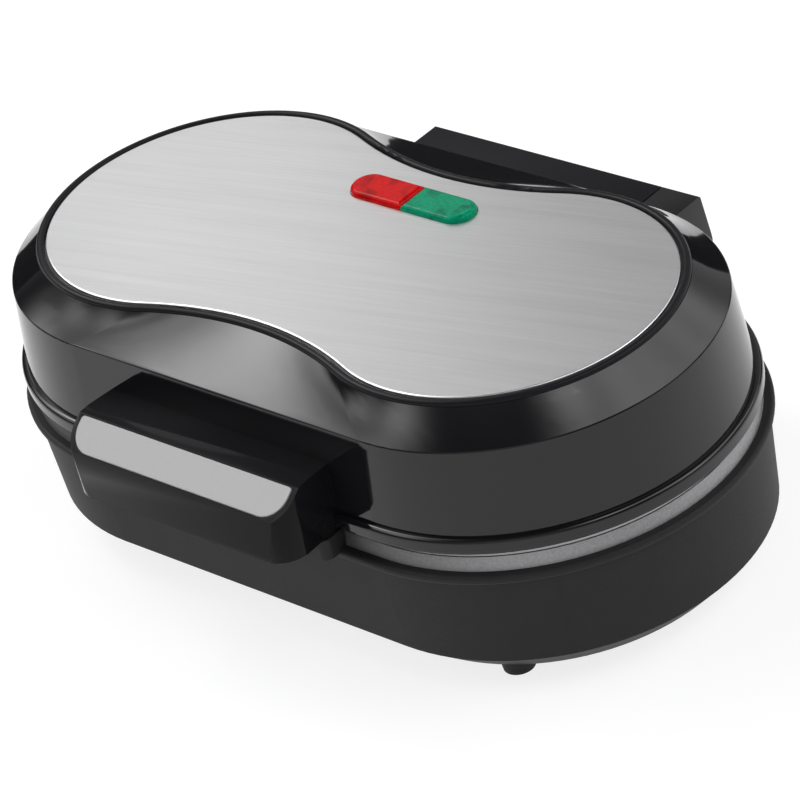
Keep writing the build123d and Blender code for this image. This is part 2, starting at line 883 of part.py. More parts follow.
save(
    plate(
        upper_face,
        1,
        upper_flange,
        upper_well_depth,
        upper_boss_top,
        plate_edge_radius,
        plate_edge_radius,
    ),
    "upper_plate",
)
save(
    plate(
        parting_height,
        -1,
        lower_flange,
        lower_well_depth,
        lower_boss_bottom,
        plate_edge_radius,
        plate_edge_radius + plate_edge_flare,
    ),
    "lower_plate",
)
save(heater_tube(upper_heater_height, heater_radius, pin_length), "upper_heater")
save(heater_tube(lower_heater_height, heater_radius, pin_length), "lower_heater")


def heat_shield(low):
    """Thin sheet clamped between the plate's bosses and the posts."""
    with BuildPart() as sheet:
        add(slab(stadium(lobe_x, shield_radius), low, low + shield_thickness))
        add(
            rods(screw_spots, screw_radius + head_play, low, low + shield_thickness),
            mode=Mode.SUBTRACT,
        )
        add(
            rods([(0, heater_bend)], lead_hole_radius, low, low + shield_thickness),
            mode=Mode.SUBTRACT,
        )
    return sheet.part


save(heat_shield(upper_boss_top), "upper_heat_shield")
save(heat_shield(lower_boss_bottom - shield_thickness), "lower_heat_shield")

# Leads from the lamps and from the terminal block to the ends of the heaters
block_top = foot_height + hatch_thickness + block_height
for name, side in (("left", -1), ("right", 1)):
    lead_spot = [(side * (heater_gap / 2 - pin_length / 2), heater_bend)]
    upper_lead = rods(lead_spot, lead_radius, upper_heater_height + pin_radius, holder_foot_bottom)
    lower_lead = rods(lead_spot, lead_radius, block_top, lower_heater_height - pin_radius)
    save(upper_lead, name + "_lid_lead")
    save(lower_lead, name + "_base_lead")

# Outer form of the base
rim_bottom = ledge_height - rim_height
with BuildPart() as rim_form:
    add(slab(stadium(lobe_x, rim_radius), rim_bottom, ledge_height))
    fillet(
        rim_form.edges().group_by(Axis.Z)[-1] + rim_form.edges().group_by(Axis.Z)[0],
        radius=rim_round,
    )

with BuildPart() as base_form:
    add(between(stadium(lobe_x, keel_radius), foot_height, stadium(lobe_x, hull_radius), keel_height))
    add(
        between(
            stadium(lobe_x, hull_radius), keel_height, stadium(lobe_x, hull_top_radius), rim_bottom
        )
    )
    add(rim_form.part)

# Way for the mains lead, through the bracket and the back of the base
with BuildPart() as cord_tunnel:
    with BuildSketch(Plane.XZ.offset(-base_seat + wall)):
        with Locations((0, base_screw_z)):
            Circle(cord_way_radius)
    extrude(amount=base_seat - wall - hinge_back)
cord_way = cord_tunnel.part

# Lower housing
floor_top = foot_height + floor_thickness
ledge_bottom = rim_bottom - wall / 2
with BuildPart() as base_hollow:
    add(
        between(
            stadium(lobe_x, keel_radius - wall),
            floor_top,
            stadium(lobe_x, hull_radius - wall),
            keel_height,
        )
    )
    add(
        between(
            stadium(lobe_x, hull_radius - wall),
            keel_height,
            stadium(lobe_x, hull_top_radius - wall),
            ledge_bottom,
        )
    )
    add(slab(stadium(lobe_x, ledge_radius), ledge_bottom - wall, ledge_height))
    add(
        rods(screw_spots, post_radius, foot_height, lower_boss_bottom - shield_thickness),
        mode=Mode.SUBTRACT,
    )
    add(rods(cover_spots, cover_boss_radius, foot_height, cover_boss_top), mode=Mode.SUBTRACT)

with BuildPart() as lower_housing:
    add(base_form.part)
    # tab under the handle
    with BuildSketch(Plane.XY.offset(tab_bottom)) as tab_plan:
        with Locations((0, -(tab_front + ledge_radius) / 2)):
            Rectangle(2 * tab_half_width, tab_front - ledge_radius)
        fillet(tab_plan.vertices().group_by(Axis.Y)[0], radius=tab_corner)
    extrude(amount=tab_top - tab_bottom)
    with BuildSketch(Plane.XY.offset(ledge_height)):
        with Locations((0, -tab_back / 2)):
            Rectangle(4 * tab_half_width, tab_back)
    extrude(amount=2 * (tab_top - ledge_height), mode=Mode.SUBTRACT)
    add(base_hollow.part, mode=Mode.SUBTRACT)
    # opening in the floor, with a step that takes the cover
    add(
        slab(stadium(lobe_x, hatch_radius), foot_height, floor_top)
        - rods(cover_spots, cover_boss_radius, foot_height + hatch_thickness, floor_top),
        mode=Mode.SUBTRACT,
    )
    add(
        slab(
            stadium(lobe_x, hatch_radius + hatch_lap),
            foot_height,
            foot_height + hatch_thickness,
        ),
        mode=Mode.SUBTRACT,
    )
    add(
        rods(
            cover_spots,
            small_screw_radius + screw_play,
            foot_height,
            foot_height + small_screw_length + head_sink,
        ),
        mode=Mode.SUBTRACT,
    )
    add(
        rods(
            screw_spots,
            screw_radius + screw_play,
            lower_screw_end - screw_head_height,
            lower_boss_bottom,
        ),
        mode=Mode.SUBTRACT,
    )
    add(
        rods(
            foot_spots.values(),
            peg_radius + screw_play,
            foot_height,
            foot_height + peg_length + head_sink,
        ),
        mode=Mode.SUBTRACT,
    )
    add(bracket_screw_holes, mode=Mode.SUBTRACT)
    add(cord_way, mode=Mode.SUBTRACT)

save(lower_housing.part, "lower_housing")

# Bottom cover with its vents
with BuildPart() as bottom_cover:
    add(
        slab(
            stadium(lobe_x, hatch_radius + hatch_lap - hatch_play),
            foot_height,
            foot_height + hatch_thickness,
        )
    )
    add(
        rods(
            cover_spots,
            small_screw_radius + screw_play,
            foot_height,
            foot_height + hatch_thickness,
        ),
        mode=Mode.SUBTRACT,
    )
    with BuildSketch(Plane.XY.offset(foot_height)):
        with Locations((lobe_x, 0), (-lobe_x, 0)):
            with GridLocations(vent_pitch, 0, vent_count, 1):
                SlotOverall(vent_length, vent_width, rotation=90)
    extrude(amount=hatch_thickness, mode=Mode.SUBTRACT)

save(bottom_cover.part, "bottom_cover")

with BuildPart() as cover_screws:
    add(
        rods(
            cover_spots,
            small_screw_head,
            foot_height - small_screw_head_height,
            foot_height,
        )
    )
    add(rods(cover_spots, small_screw_radius, foot_height, foot_height + small_screw_length))

save(cover_screws.part, "cover_screws")

# Rubber feet, each with a peg pushed into the floor
for name, spot in foot_spots.items():
    with BuildPart() as foot:
        with BuildSketch(Plane.XY):
            with Locations(spot):
                Circle(foot_radius - foot_taper)
        with BuildSketch(Plane.XY.offset(foot_height)):
            with Locations(spot):
                Circle(foot_radius)
        loft(ruled=True)
        add(rods([spot], peg_radius, foot_height, foot_height + peg_length))
    save(foot.part, name)

# Terminal block on the cover
with BuildPart() as terminal_block:
    with BuildSketch(Plane.XY.offset(foot_height + hatch_thickness)):
        with Locations((0, heater_bend)):
            Rectangle(block_length, block_width)
    extrude(amount=block_height)
    fillet(terminal_block.edges().filter_by(Axis.Z), radius=block_corner)
    with BuildSketch(Plane.XY.offset(block_top)):
        with Locations((0, heater_bend)):
            with GridLocations(0, block_width, 1, 2):
                Rectangle(block_length, 2 * block_step_width)
    extrude(amount=-block_step_depth, mode=Mode.SUBTRACT)

save(terminal_block.part, "terminal_block")

# Thermostat under the left well
save(
    rods(
        [(-lobe_x, 0)],
        thermostat_radius,
        lower_dry_side - thermostat_height,
        lower_dry_side,
    ),
    "thermostat",
)

# Thermal fuse under the right well, held by a strap
fuse_z = lower_dry_side - fuse_radius
with BuildPart() as thermal_fuse:
    with BuildSketch(Plane.YZ.offset(lobe_x - fuse_length / 2)):
        with Locations((0, fuse_z)):
            Circle(fuse_radius)
    extrude(amount=fuse_length)

save(thermal_fuse.part, "thermal_fuse")

with BuildPart() as fuse_strap:
    with BuildSketch(Plane.YZ.offset(lobe_x - clip_width / 2)):
        with Locations((0, lower_dry_side - clip_thickness / 2)):
            Rectangle(clip_length, clip_thickness)
        with Locations((0, fuse_z)):
            Circle(fuse_radius + clip_thickness)
            Circle(fuse_radius + screw_play, mode=Mode.SUBTRACT)
        with Locations((0, lower_dry_side - fuse_radius / 2)):
            Rectangle(2 * fuse_radius, fuse_radius, mode=Mode.SUBTRACT)
        with Locations((0, lower_dry_side + fuse_radius)):
            Rectangle(clip_length, 2 * fuse_radius, mode=Mode.SUBTRACT)
    extrude(amount=clip_width)

save(fuse_strap.part, "fuse_strap")

# Hinge bracket on the back of the base
with BuildPart() as hinge_bracket:
    with BuildSketch(Plane.YZ):
        with BuildLine():
            Polyline(
                (hull_radius - root_depth, bracket_bottom),
                (hinge_back - bracket_draft, bracket_bottom),
                (hinge_back, bracket_top),
                (hull_radius - root_depth, bracket_top),
                close=True,
            )
        make_face()
    extrude(amount=bracket_half_width, both=True)
    fillet(hinge_bracket.edges().filter_by(Axis.X).group_by(Axis.Y)[-1], radius=bracket_round)
    for side in (-1, 1):
        with BuildSketch(Plane.YZ.offset(side * ear_x - ear_width / 2)):
            with Locations((pivot_y, pivot_height)):
                Circle(ear_radius)
            with Locations((pivot_y, (pivot_height + bracket_top) / 2)):
                Rectangle(ear_neck, pivot_height - bracket_top)
        extrude(amount=ear_width)
    add(base_form.part, mode=Mode.SUBTRACT)
    add(cross_bar(-hinge_half_width, hinge_half_width, pin_shaft_radius + pin_play), mode=Mode.SUBTRACT)
    add(bracket_screw_holes, mode=Mode.SUBTRACT)
    add(cord_way, mode=Mode.SUBTRACT)
    # seat of the cord gland
    with BuildSketch(Plane.XZ.offset(-hinge_back)):
        with Locations((0, base_screw_z)):
            Circle(gland_radius + screw_play)
    extrude(amount=gland_depth, mode=Mode.SUBTRACT)

save(hinge_bracket.part, "hinge_bracket")

# Rubber gland where the mains lead enters
with BuildPart() as cord_gland:
    with BuildSketch(Plane.XZ.offset(-hinge_back)):
        with Locations((0, base_screw_z)):
            Circle(gland_radius)
            Circle(gland_bore, mode=Mode.SUBTRACT)
    extrude(amount=gland_depth)
    fillet(cord_gland.edges().group_by(Axis.Y)[-1], radius=gland_round)

save(cord_gland.part, "cord_gland")
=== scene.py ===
# %% [markdown]
# # An electric burger maker, dressed for its picture
# This lesson gives them their finishes, softens the edges that a mould would soften, and
# sets up the studio. Everything is in metres, with the table at height 0 and the handle
# towards -Y.

import json
import math

import bpy
from mathutils import Matrix, Vector


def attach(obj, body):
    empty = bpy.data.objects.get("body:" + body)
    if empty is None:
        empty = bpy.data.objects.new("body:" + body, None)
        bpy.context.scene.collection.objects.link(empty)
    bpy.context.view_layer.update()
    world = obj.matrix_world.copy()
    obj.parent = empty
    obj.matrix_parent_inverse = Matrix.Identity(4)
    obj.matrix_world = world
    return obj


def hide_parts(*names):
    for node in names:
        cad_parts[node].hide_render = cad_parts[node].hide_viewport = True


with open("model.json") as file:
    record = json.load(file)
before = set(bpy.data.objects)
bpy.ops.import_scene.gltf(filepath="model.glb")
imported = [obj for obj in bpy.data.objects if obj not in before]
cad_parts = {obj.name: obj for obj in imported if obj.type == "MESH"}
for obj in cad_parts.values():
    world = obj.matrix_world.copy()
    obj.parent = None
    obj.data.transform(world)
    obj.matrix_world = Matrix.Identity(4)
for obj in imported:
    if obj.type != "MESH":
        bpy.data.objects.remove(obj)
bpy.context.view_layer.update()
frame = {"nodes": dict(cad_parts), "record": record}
nodes = frame["nodes"]
record = frame["record"]
slot_of = {part["node"]: part["material_slot"] for part in record["subparts"]}
bodies = record["behaviour"]["bodies"]
body_of = {name: body for body, names in bodies.items() for name in names}

# %% [markdown]
# ## The camera
# A product photograph is taken from far away with a long lens, so that near and far ends of
# the cooker are drawn almost at one scale. The camera therefore stands 1.4 m off with a lens
# of 195 mm. It is turned by 14 degrees about its own line of sight, which is why the table
# seems to slope. A camera can be turned with rotation angles, but three directions, its
# right, its up and its back, are easier to read as the columns of a matrix.

# %% Camera
camera_angles = (49.523, 32.719, -14.359)  # azimuth, elevation and roll
camera_place = (0.879171, -0.746818, 0.781226)
focal_length = 194.906  # in millimetres, as is the film
film_width = 36

azimuth, elevation, roll = (math.radians(angle) for angle in camera_angles)
back = Vector(
    (
        math.sin(azimuth) * math.cos(elevation),
        -math.cos(azimuth) * math.cos(elevation),
        math.sin(elevation),
    )
)
level_right = Vector((0, 0, 1)).cross(back).normalized()
level_up = back.cross(level_right)
right = level_right * math.cos(roll) + level_up * math.sin(roll)
up = level_up * math.cos(roll) - level_right * math.sin(roll)

long_lens = bpy.data.cameras.new("camera")
long_lens.lens = focal_length
long_lens.sensor_width = film_width
long_lens.sensor_fit = "HORIZONTAL"
long_lens.clip_end = 20
camera = bpy.data.objects.new("camera", long_lens)
bpy.context.collection.objects.link(camera)
turn = Matrix((right, up, back)).transposed().to_4x4()
camera.matrix_world = Matrix.Translation(camera_place) @ turn
bpy.context.scene.camera = camera
bpy.context.scene.view_settings.view_transform = "Standard"
print("camera looks along", [round(v, 3) for v in -back])

# %% [markdown]
# ## Writing shader maths
# A procedural finish is arithmetic on noises. Wired by hand, each sum and product is one
# node. The small class below wraps a socket, so that `0.2 + 0.1 * grain` in Python adds
# those Math nodes by itself.


# %% Values
class Value:
    """A socket that can be added to, multiplied and so on."""

    def __init__(self, graph, socket):
        self.graph = graph
        self.socket = socket

    def __add__(self, other):
        return self.graph.math("ADD", self, other)

    def __sub__(self, other):
        return self.graph.math("SUBTRACT", self, other)

    def __mul__(self, other):
        return self.graph.math("MULTIPLY", self, other)

    def __pow__(self, other):
        return self.graph.math("POWER", self, other)

    __radd__ = __add__
    __rmul__ = __mul__


print("values ready")

# %% [markdown]
# A node tree belongs to a material or to the world, and is made of nodes with settings and
# sockets. `Graph` holds one tree and adds nodes to it in one call each, where the plain way
# takes a line for every setting and every link.


# %% Graph
class Graph:
    """A node tree that is written to in plain calls."""

    def __init__(self, tree):
        self.tree = tree

    def node(self, kind, settings=None, sockets=None, output=0):
        """Any node: its settings are set first, then its sockets, and one output comes back."""
        made = self.tree.nodes.new(kind)
        for title, value in (settings or {}).items():
            setattr(made, title, value)
        for title, value in (sockets or {}).items():
            self.connect(made.inputs[title], value)
        return Value(self, made.outputs[output])

    def connect(self, socket, value):
        """Link a value to a socket, or set a number or colour on it."""
        if isinstance(value, Value):
            self.tree.links.new(value.socket, socket)
        elif socket.type == "RGBA":
            socket.default_value = (*value, 1)
        else:
            socket.default_value = value

    def math(self, operation, first, second):
        """One Math node."""
        return self.node("ShaderNodeMath", {"operation": operation}, {0: first, 1: second})

    def ramp(self, value, start, stop, low=0.0, high=1.0):
        """Smooth step from low to high as value goes from start to stop."""
        step = {"interpolation_type": "SMOOTHSTEP"}
        span = {"From Min": start, "From Max": stop, "To Min": low, "To Max": high}
        return self.node("ShaderNodeMapRange", step, {"Value": value, **span})


print("graph ready")

# %% [markdown]
# ## The studio
# The floor is plain and pale. A photographer lights such a floor until it is white. That much
# light would wash out the blacks here, so a part of its white comes from itself, for the
# camera and for whatever mirrors it. The rest is lit, so that it keeps the cooker's shadow.

# %% Floor
floor_size = 9

bpy.ops.object.select_all(action="DESELECT")
bpy.ops.mesh.primitive_plane_add(size=floor_size, location=(0, 0, 0))
floor = bpy.context.object
floor.name = "floor"
print("floor", [round(v, 2) for v in floor.dimensions])

# %% [markdown]
# The paper mixes a lit surface with a glow. The Light Path node tells which kind of ray has
# arrived, so the glow is there for the eye and for mirrors and lights nothing else.

# %% Paper
own_white = 1.22  # strength of the white that comes from the paper itself
own_share = 0.66

paper = bpy.data.materials.new("paper")
paper.use_nodes = True
sheet = Graph(paper.node_tree)
surface = sheet.tree.nodes["Principled BSDF"]
sheet.connect(surface.inputs["Base Color"], (0.86, 0.86, 0.87))
sheet.connect(surface.inputs["Roughness"], 0.32)
glow = sheet.node("ShaderNodeEmission", None, {"Color": (1, 1, 1), "Strength": own_white})
seen = sheet.node("ShaderNodeLightPath", output="Is Camera Ray")
mirrored = sheet.node("ShaderNodeLightPath", output="Is Glossy Ray")
through = sheet.node("ShaderNodeLightPath", output="Is Transmission Ray")
share = own_share * sheet.math("MINIMUM", seen + mirrored + through, 1.0)
lit = Value(sheet, surface.outputs[0])
both = sheet.node("ShaderNodeMixShader", None, {0: share, 1: lit, 2: glow})
sheet.tree.links.new(both.socket, sheet.tree.nodes["Material Output"].inputs["Surface"])
floor.data.materials.append(paper)
print("paper glows by", round(own_share * own_white, 3))

# %% [markdown]
# ## Light from all round
# Gloss black shows nothing but what it mirrors, so the look of this lid is the look of the
# room. Separate soft boxes could be built as lamps, but their hard edges would show in the
# gloss. The world can hold them as soft lobes of light instead: each lobe has a direction,
# a spread and a strength, and falls off like a bell. A power of the cosine does that.

# %% Soft box
world = bpy.data.worlds.new("studio")
bpy.context.scene.world = world
world.use_nodes = True
room = Graph(world.node_tree)
direction = room.node("ShaderNodeTexCoord", output="Generated")
height = room.node("ShaderNodeSeparateXYZ", None, {0: direction}, output=2)


def soft_box(bearing, rise, spread, strength):
    """Soft lobe of light, with its angles in degrees."""
    bearing, rise, spread = (math.radians(angle) for angle in (bearing, rise, spread))
    level = math.cos(rise)
    aim = (math.cos(bearing) * level, math.sin(bearing) * level, math.sin(rise))
    sockets = {0: direction, 1: aim}
    near = room.node("ShaderNodeVectorMath", {"operation": "DOT_PRODUCT"}, sockets, output=1)
    return room.math("MAXIMUM", near, 0.0) ** (1 / spread**2) * strength


print("world", world.name)

# %% [markdown]
# Each soft box is a line of a table: its bearing from +X, its rise and its spread, all in
# degrees, and its strength. Trial and error would find them slowly. It is quicker to ask of
# each highlight in the photograph which way its mirrored ray goes, and to put a box there.

# %% World
soft_boxes = (
    # mirrored by the front of the slope
    (172, 46, 7, 10.5),
    (-172, 30, 7, 3.2),
    (-160, 54, 8, 3.4),
    (-148, 30, 7, 2.2),
    (-132, 46, 7, 1.7),
    (-124, 38, 7, 2.2),
    # mirrored by its right end, from the front corner to the back
    (-12, 54, 7, 5.0),
    (20, 54, 7, 2.1),
    (36, 38, 11, 3.8),
    (68, 38, 7, 2.5),
    (76, 22, 7, 1.8),
    (100, 14, 16, 0.5),
    # mirrored by the level steel
    (139, 34, 18, 0.3),
    # a broad one from the front, for lips and corners
    (-65, 18, 24, 0.6),
)

fade_height = 0.2
horizon_grey, overhead_grey = 0.2, 0.02

brightness = room.ramp(height, 0.0, fade_height, horizon_grey, overhead_grey)
for box in soft_boxes:
    brightness = brightness + soft_box(*box)
sky = room.tree.nodes["Background"]
room.connect(sky.inputs["Color"], (1, 1, 1))
room.connect(sky.inputs["Strength"], brightness)
print("soft boxes:", len(soft_boxes))

# %% [markdown]
# ## A black card
# A white floor shows as a white smear in gloss that is seen at a low angle, at the back of the
# slope and at the left end. Photographers stand a black card there, just outside the picture.
# This one is a strip of an open cylinder behind the cooker. Only gloss sees it, so that it
# doesn't get into views from other sides and casts no shadow.

# %% Black card
card_radius = 0.5
card_height = 0.13
card_start, card_end = 70, 192  # bearings from +X, in degrees

bpy.ops.object.select_all(action="DESELECT")
bpy.ops.mesh.primitive_cylinder_add(
    vertices=72,
    radius=card_radius,
    depth=card_height,
    location=(0, 0, card_height / 2),
    end_fill_type="NOTHING",
)
card_strip = bpy.context.object
card_strip.name = "black_card"
bpy.ops.object.mode_set(mode="EDIT")
bpy.ops.mesh.select_all(action="DESELECT")
bpy.ops.object.mode_set(mode="OBJECT")
for face in card_strip.data.polygons:
    bearing = math.degrees(math.atan2(face.center.y, face.center.x)) % 360
    face.select = not card_start < bearing < card_end
bpy.ops.object.mode_set(mode="EDIT")
bpy.ops.mesh.delete(type="FACE")
bpy.ops.object.mode_set(mode="OBJECT")
print("card faces:", len(card_strip.data.polygons))

# %% [markdown]
# The card is covered in felt, which is black and has no shine. A card with no material would
# be pale, and would only move the smear. The three switches hide it from all but the rays
# that gloss sends out.

# %% Felt
felt = bpy.data.materials.new("felt")
felt.use_nodes = True
nap = Graph(felt.node_tree)
surface = nap.tree.nodes["Principled BSDF"]
nap.connect(surface.inputs["Base Color"], (0.01, 0.01, 0.01))
nap.connect(surface.inputs["Roughness"], 0.9)
card_strip.data.materials.append(felt)
card_strip.visible_camera = False
card_strip.visible_diffuse = False
card_strip.visible_shadow = False
print("card covers", card_end - card_start, "degrees")

# %% [markdown]
# ## A lamp close by
# The steel is paler on the left than on the right. Light from far away can't do that on a
# flat sheet, so one small lamp stands near the left end, where the brushed surface throws
# its light to the camera.

# %% Near lamp
lamp_distance = 0.6
lamp_direction = Vector((-0.64, 0.546, 0.54))
target = Vector((-0.10, 0.0, 0.10))  # the left end of the steel

disk = bpy.data.lights.new("near_lamp", "AREA")
disk.shape = "DISK"
disk.size = 0.26
disk.energy = 0.1
near_lamp = bpy.data.objects.new("near_lamp", disk)
bpy.context.collection.objects.link(near_lamp)
near_lamp.location = target + lamp_direction * lamp_distance
near_lamp.rotation_euler = (near_lamp.location - target).to_track_quat("Z", "Y").to_euler()
print("lamp at", [round(v, 2) for v in near_lamp.location])

# %% [markdown]
# ## A class for finishes
# A finish is the graph of one material: a Principled shader and the few things that vary on
# it. Pictures could be wrapped round the pieces, but that takes an unwrapping for each piece,
# while a noise in the piece's own coordinates needs none and has its true size in metres.

# %% Finish
finishes = {}


class Finish(Graph):
    """One material, made of a Principled shader and what varies on it."""

    def __init__(self, name, **constants):
        self.material = bpy.data.materials.new(name)
        self.material.use_nodes = True
        super().__init__(self.material.node_tree)
        self.shader = self.tree.nodes["Principled BSDF"]
        self.feed(**constants)
        finishes[name] = self.material

    def feed(self, **values):
        """Set or link sockets of the shader, named with _ for each space."""
        for title, value in values.items():
            self.connect(self.shader.inputs[title.replace("_", " ")], value)

    def place(self, stretch=(1, 1, 1), turn=0.0):
        """Where a point is on the piece, with the pattern stretched and turned about Z."""
        where = self.node("ShaderNodeTexCoord", output="Object")
        sockets = {"Vector": where, "Rotation": (0, 0, turn), "Scale": stretch}
        return self.node("ShaderNodeMapping", {"vector_type": "TEXTURE"}, sockets)

    def noise(self, size, detail=2.0, **place):
        """Noise whose blotches are about as large as size, in metres."""
        sockets = {"Vector": self.place(**place), "Scale": 1 / size, "Detail": detail}
        return self.node("ShaderNodeTexNoise", None, sockets)

    def blend(self, factor, low, high):
        """Colour between two colours, which go into sockets 6 and 7 of a Mix node."""
        colours = {"data_type": "RGBA"}
        return self.node("ShaderNodeMix", colours, {0: factor, 6: low, 7: high}, output=2)

    def bump(self, height, depth, strength):
        """Raised pattern, depth metres deep where its height is 1."""
        sockets = {"Height": height, "Distance": depth, "Strength": strength}
        self.feed(Normal=self.node("ShaderNodeBump", None, sockets))


print("finish class ready")

# %% [markdown]
# ## Shiny black mouldings
# The blacks of this cooker have nearly the same colour and differ in how they shine. The lid
# comes from a polished mould, so it mirrors the room, with only a trace of waviness. The
# handle is the same plastic, rubbed duller by hands. A darker colour would not dull it, since
# nearly all that is seen of it is what it mirrors, so its index of refraction is lower.

# %% Gloss and handle black
gloss = Finish("gloss_black", IOR=1.45)
haze = gloss.noise(0.03, 3)
gloss.feed(
    Base_Color=gloss.blend(haze, (0.006, 0.006, 0.0075), (0.009, 0.009, 0.0105)),
    Roughness=0.045 + 0.03 * haze,
)
gloss.bump(gloss.noise(0.02, 0), 0.00002, 0.25)

worn = Finish("handle_black", IOR=1.2)
rubbed = worn.noise(0.02, 3)
worn.feed(
    Base_Color=worn.blend(rubbed, (0.006, 0.006, 0.0075), (0.009, 0.009, 0.0105)),
    Roughness=0.07 + 0.05 * rubbed,
)
print("shiny blacks:", list(finishes))

# %% [markdown]
# ## Dull black mouldings and rubber
# The hinge block and the bead are satin. The base comes from an etched mould: fine grains,
# each a few tenths of a millimetre, break every highlight into a dull sheen. The feet are
# rubber that has picked up some dust. A bump from the same noise that drives the roughness
# makes grains that can be seen from close by.

# %% Satin, etched and rubber black
satin = Finish("satin_black", IOR=1.22)
grain = satin.noise(0.0005, 2)
shade = satin.noise(0.02)
satin.feed(
    Base_Color=satin.blend(shade, (0.009, 0.009, 0.011), (0.013, 0.013, 0.015)),
    Roughness=0.26 + 0.1 * grain,
)
satin.bump(grain, 0.00003, 0.5)

etched = Finish("matte_black", IOR=1.32)
pits = etched.noise(0.00055, 3)
patches = etched.noise(0.015)
etched.feed(
    Base_Color=etched.blend(patches, (0.017, 0.017, 0.0178), (0.023, 0.023, 0.0238)),
    Roughness=0.5 + 0.16 * pits,
)
etched.bump(pits, 0.00012, 0.55)

rubber = Finish("soft_rubber", IOR=1.45)
dust = rubber.noise(0.004, 4)
rubber.feed(
    Base_Color=rubber.blend(dust, (0.010, 0.010, 0.011), (0.022, 0.021, 0.020)),
    Roughness=0.62 + 0.15 * dust,
)
rubber.bump(rubber.noise(0.0008, 2), 0.00008, 0.4)
print("blacks:", list(finishes))

# %% [markdown]
# ## Brushed steel
# The top sheet was brushed in one direction, which leaves thousands of fine scratches. A
# noise that is stretched seventy times along one axis draws them. They change the colour a
# little, the roughness a little more, and they tilt the surface across the stroke, which is
# what spreads a highlight into a band. Wider bands and soft clouds vary the tone.

# %% Steel finish
steel = Finish("brushed_steel", Metallic=1.0)
stroke = math.radians(12)  # from the length of the cooker
hairs = steel.noise(0.0006, 4, stretch=(70, 1, 1), turn=stroke)
bands = steel.noise(0.0045, 3, stretch=(22, 1, 1), turn=stroke)
clouds = steel.noise(0.05, 2, stretch=(2, 1, 1), turn=stroke)
tone = 0.45 * hairs + 0.35 * bands + 0.2 * clouds
steel.feed(
    Base_Color=steel.blend(tone, (0.60, 0.60, 0.605), (0.88, 0.88, 0.885)),
    Roughness=0.27 + 0.14 * hairs,
)
steel.bump(hairs, 0.00002, 0.35)
print("steel strokes at", round(math.degrees(stroke)), "degrees")

# %% [markdown]
# ## Silver strip
# The strip on the handle is painted, so it is not a true metal: its silver has a fine flake
# in it. A real flake tilts each speck its own way. Here the flake only changes the colour and
# the roughness a little, which is all that shows at this distance.

# %% Silver finish
trim = Finish("silver_trim", IOR=1.5, Metallic=0.15)
flake = trim.noise(0.0003, 2)
trim.feed(
    Base_Color=trim.blend(flake, (0.365, 0.365, 0.367), (0.44, 0.44, 0.442)),
    Roughness=0.36 + 0.1 * flake,
)
trim.bump(flake, 0.00001, 0.3)
print("silver strip ready")

# %% [markdown]
# ## Cooking plates
# The plates are cast aluminium under a dark non-stick coat. Only their outer edge is bare and
# grainy, and it shows between the lid and the base, most of all at the right end. A second
# material on the edge faces could do that, but the frame's meshes are left alone, so one
# material tells the places apart: the distance from the middle line of the plate is worked
# out from the coordinates, and the coat ends where the edge begins. The bare edge is painted
# paler towards the right end and stays dark towards the left: that is painted light.

# %% Plate finish
half_spread = 0.0615  # from the middle to the middle of each well
coat_end, bare_start = 0.0690, 0.0695
# Painted light: along the length the bare edge is painted paler towards the right end.
painted_light_from, painted_light_to = 0.03, 0.115  # along the length, where the edge turns pale
least_painted_light = 0.12

cast = Finish("cast_plate", IOR=1.5)
where = cast.node("ShaderNodeTexCoord", output="Object")
along, across = (cast.node("ShaderNodeSeparateXYZ", None, {0: where}, output=i) for i in (0, 1))
beyond = cast.math("MAXIMUM", cast.math("ABSOLUTE", along, 0) - half_spread, 0)
distance = (beyond * beyond + across * across) ** 0.5
edge = cast.ramp(distance, coat_end, bare_start)
# Painted light: the bare edge times a ramp along the length, paler towards the right end.
bare_edge_and_painted_light = edge * cast.ramp(along, painted_light_from, painted_light_to, least_painted_light, 1.0)
sand = cast.noise(0.0007, 4)
speckle = cast.noise(0.0004, 1)
dark = cast.blend(speckle, (0.018, 0.018, 0.019), (0.034, 0.034, 0.035))
silver = cast.blend(sand, (0.26, 0.26, 0.27), (0.56, 0.56, 0.57))
cast.feed(
    Base_Color=cast.blend(bare_edge_and_painted_light, dark, silver),
    Roughness=0.38 + 0.2 * sand,
    Metallic=bare_edge_and_painted_light,
)
cast.bump(sand, 0.00015, 0.5)
print("plates bare beyond", bare_start)

# %% [markdown]
# ## Other metals
# Three plain metals are left: the sheath of the elements, which heat has bloomed, the rolled
# sheet of the shields, and the zinc plate on screws and pin. Each is the same graph with a
# noise of its own, so one function makes all three.


# %% Plain metals
def plain_metal(name, low, high, roughness, spread, **pattern):
    """Metal whose colour and roughness follow one noise."""
    metal = Finish(name, Metallic=1.0)
    mottle = metal.noise(**pattern)
    colour = metal.blend(mottle, low, high)
    metal.feed(Base_Color=colour, Roughness=roughness + spread * mottle)


bloom = {"size": 0.006, "detail": 4}
plain_metal("heater_sheath", (0.36, 0.35, 0.34), (0.52, 0.52, 0.53), 0.34, 0.2, **bloom)
rolled = {"size": 0.001, "detail": 3, "stretch": (40, 1, 1)}
plain_metal("sheet_steel", (0.58, 0.58, 0.59), (0.74, 0.74, 0.75), 0.26, 0.16, **rolled)
zinc = {"size": 0.002, "detail": 3}
plain_metal("plain_steel", (0.50, 0.50, 0.52), (0.64, 0.64, 0.66), 0.2, 0.14, **zinc)
print("metals ready")

# %% [markdown]
# ## The lens
# The two halves of the lens are moulded in clear colour over a field of tiny prisms that
# scatter the lamps. Real glass shading would need the room under the lid, which is dark, and
# would lose the colour. It is simpler to paint what is seen: a saturated colour with painted
# shade in the grooves between the prisms, a faint gloss and a faint painted glow.

# %% Lens finish
prisms_per_metre = 1100.0


